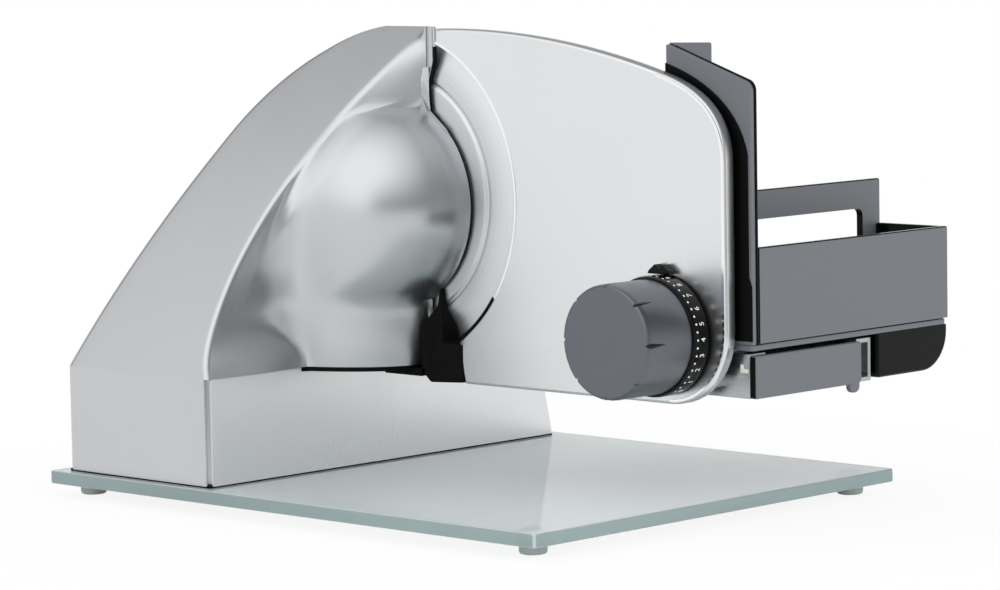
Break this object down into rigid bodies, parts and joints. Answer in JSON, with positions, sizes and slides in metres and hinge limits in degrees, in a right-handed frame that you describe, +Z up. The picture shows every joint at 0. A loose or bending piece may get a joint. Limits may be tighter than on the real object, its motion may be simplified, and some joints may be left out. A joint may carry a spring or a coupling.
{
  "type": "food slicer",
  "caption": "Compact electric food slicer on a glass base: round blade beside a silver motor housing, stop plate with a thickness knob, and a sliding carriage on rails.",
  "frame": {"origin": "middle of the object's outline in plan, on the table surface", "axes": "+X along the stop plate from the housing to the carriage handle, +Y from the slice side to the food side, +Z up"},
  "size_m": [0.3856, 0.292, 0.2494],
  "materials": {
    "base_glass": "clear float glass with a pale green tint, polished edges",
    "foot_rubber": "grey matt rubber",
    "housing_silver": "satin silver",
    "dome_silver": "satin silver, smooth",
    "panel_silver": "satin silver",
    "sheet_steel": "rolled sheet",
    "motor_steel": "zinc plated",
    "motor_plastic": "moulded",
    "shaft_steel": "turned",
    "gear_plastic": "moulded gear plastic",
    "bush_brass": "sintered bearing metal",
    "cast_aluminium": "as cast",
    "blade_steel": "ground stainless steel",
    "black_plastic": "smooth moulded",
    "plate_aluminium": "satin silver with polished edges",
    "knob_plastic": "fine moulded grain",
    "rail_steel": "folded stainless sheet",
    "carriage_plastic": "satin moulded",
    "liner_steel": "stainless sheet",
    "glide_plastic": "low friction plastic"
  },
  "bodies": {
    "base": {"glass_base_plate": "base_glass", "foot_front_left": "foot_rubber", "foot_front_right": "foot_rubber", "foot_rear_right": "foot_rubber", "foot_rear_left": "foot_rubber", "housing_shell": "housing_silver", "gear_dome": "dome_silver", "drive_side_panel": "panel_silver", "housing_bottom_plate": "sheet_steel", "blade_bulkhead": "sheet_steel", "motor_can": "motor_steel", "motor_cap_left": "motor_plastic", "motor_cap_right": "motor_plastic", "motor_cradle": "motor_plastic", "bearing_bracket": "cast_aluminium", "front_shaft_bush": "bush_brass", "rear_shaft_bush": "bush_brass", "guard_wedge": "black_plastic", "guide_block": "cast_aluminium", "cam_follower": "shaft_steel", "front_rail": "rail_steel", "rear_rail": "rail_steel", "rail_screw_1": "shaft_steel", "rail_screw_2": "shaft_steel", "rail_screw_3": "shaft_steel", "rail_screw_4": "shaft_steel", "rail_end_cap": "carriage_plastic", "switch_body": "black_plastic", "cord_gland": "black_plastic"},
    "blade_unit": {"blade": "blade_steel", "blade_shaft": "shaft_steel", "worm_wheel": "gear_plastic", "blade_hub_cover": "blade_steel", "blade_screw_1": "shaft_steel", "blade_screw_2": "shaft_steel", "blade_screw_3": "shaft_steel"},
    "rotor": {"rotor_and_worm": "shaft_steel"},
    "stop_unit": {"stop_plate": "plate_aluminium", "guide_rod_1": "shaft_steel", "guide_rod_2": "shaft_steel", "knob_axle": "shaft_steel", "scale_index": "black_plastic"},
    "knob_unit": {"thickness_knob": "knob_plastic", "scale_ring": "black_plastic"},
    "carriage": {"carriage_pan": "carriage_plastic", "carriage_liner": "liner_steel", "thumb_guard": "carriage_plastic", "pusher_wall": "carriage_plastic", "outer_tray": "carriage_plastic", "rear_skirt": "black_plastic", "glide_front_left": "glide_plastic", "glide_front_right": "glide_plastic", "glide_rear_left": "glide_plastic", "glide_rear_right": "glide_plastic"},
    "button": {"switch_button": "black_plastic"}
  },
  "joints": [
    {"name": "blade_spin", "type": "hinge", "parent": "base", "child": "blade_unit", "pos_m": [-0.04675, -0.02, 0.159], "axis": [0, 1, 0], "continuous": true},
    {"name": "motor_spin", "type": "hinge", "parent": "base", "child": "rotor", "pos_m": [-0.04675, -0.054, 0.122], "axis": [1, 0, 0], "continuous": true},
    {"name": "stop_plate_slide", "type": "slide", "parent": "base", "child": "stop_unit", "axis": [0, -1, 0], "range_m": [0, 0.02]},
    {"name": "knob_turn", "type": "hinge", "parent": "stop_unit", "child": "knob_unit", "pos_m": [0.14375, -0.02, 0.0965], "axis": [0, 1, 0], "range_deg": [0, 300]},
    {"name": "carriage_slide", "type": "slide", "parent": "base", "child": "carriage", "axis": [-1, 0, 0], "range_m": [0, 0.185]},
    {"name": "switch_press", "type": "slide", "parent": "base", "child": "button", "axis": [1, 0, 0], "range_m": [0, 0.0025], "stiffness_N_per_m": 400}
  ],
  "couplings": [
    {"joint": "motor_spin", "follows": "blade_spin", "ratio": 15},
    {"joint": "knob_turn", "follows": "stop_plate_slide", "rad_per_m": 261.7}
  ]
}
